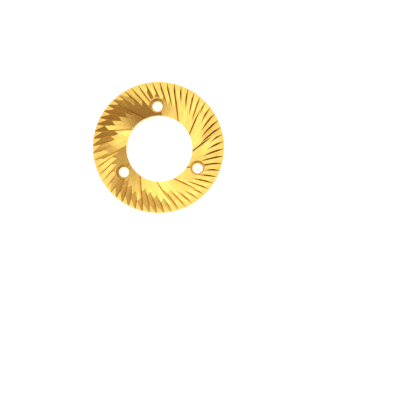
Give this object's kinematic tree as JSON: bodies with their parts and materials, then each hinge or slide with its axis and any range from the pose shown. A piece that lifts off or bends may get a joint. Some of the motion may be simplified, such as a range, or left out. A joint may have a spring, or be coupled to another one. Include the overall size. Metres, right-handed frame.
{
  "type": "coffee grinder burr",
  "caption": "Flat steel grinding ring with long and fine slanted cutting grooves on one face, a central bore, countersunk screw holes and a recess in the plain back.",
  "frame": {"origin": "centre of the bore on the plane of the back's flat outer ring", "axes": "+Z along the bore out of the toothed face, +Y towards the first fine groove's side of the rim, 3 degrees clockwise of a screw hole"},
  "size_m": [0.075, 0.075, 0.01],
  "materials": {
    "coated_steel": "hardened steel, milled and turned, with a gold titanium nitride coating"
  },
  "bodies": {
    "root": {"grinding_burr": "coated_steel"}
  },
  "joints": []
}
